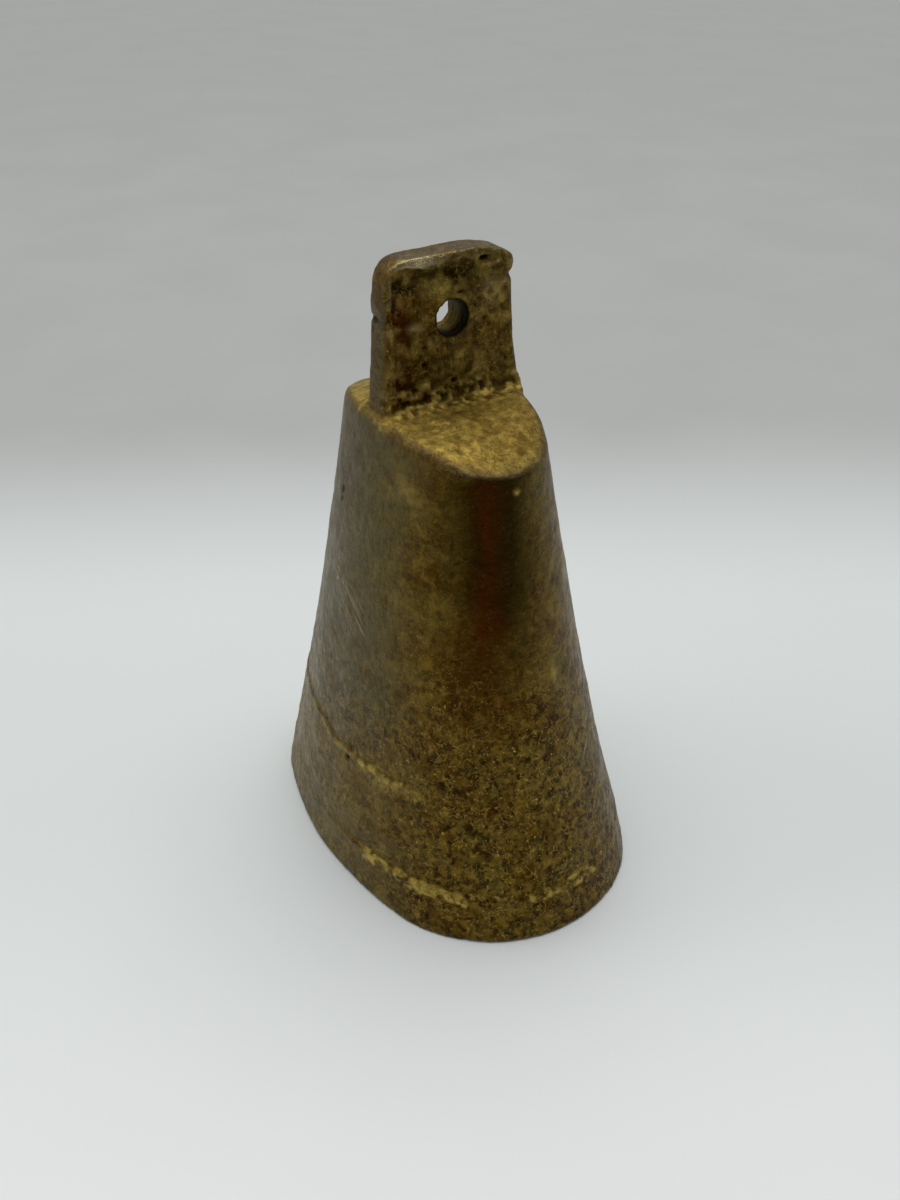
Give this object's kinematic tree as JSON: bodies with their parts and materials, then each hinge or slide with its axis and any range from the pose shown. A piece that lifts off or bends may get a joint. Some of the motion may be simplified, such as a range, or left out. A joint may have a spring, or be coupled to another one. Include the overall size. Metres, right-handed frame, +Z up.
{
  "type": "cowbell",
  "caption": "Cast brass animal bell of oval section with a holed lug on its crown, and an iron clapper that hangs from a staple by a ring.",
  "frame": {"origin": "centre of the mouth's outline, in the plane of the rim, which is the surface that the bell stands on", "axes": "+X along the mouth's long axis and the lug's cross hole, +Y across the bell's flat sides, +Z up from the mouth to the lug"},
  "size_m": [0.0952, 0.0652, 0.127],
  "materials": {
    "brass": "aged olive-brown cast brass with a satin sheen and rubbed yellow edges",
    "iron": "dark oxidised iron with a little rust"
  },
  "bodies": {
    "bell": {"bell_body": "brass", "crown_staple": "iron"},
    "link": {"clapper_ring": "iron"},
    "clapper": {"clapper_shank": "iron", "clapper_bob": "iron", "clapper_washer": "iron"}
  },
  "joints": [
    {"name": "link_swing", "type": "hinge", "parent": "bell", "child": "link", "pos_m": [0, 0, 0.0795], "axis": [1, 0, 0], "range_deg": [-13.5, 13.5]},
    {"name": "clapper_swing", "type": "hinge", "parent": "link", "child": "clapper", "pos_m": [0, 0, 0.06825], "axis": [0, 1, 0], "range_deg": [-10, 10]}
  ]
}
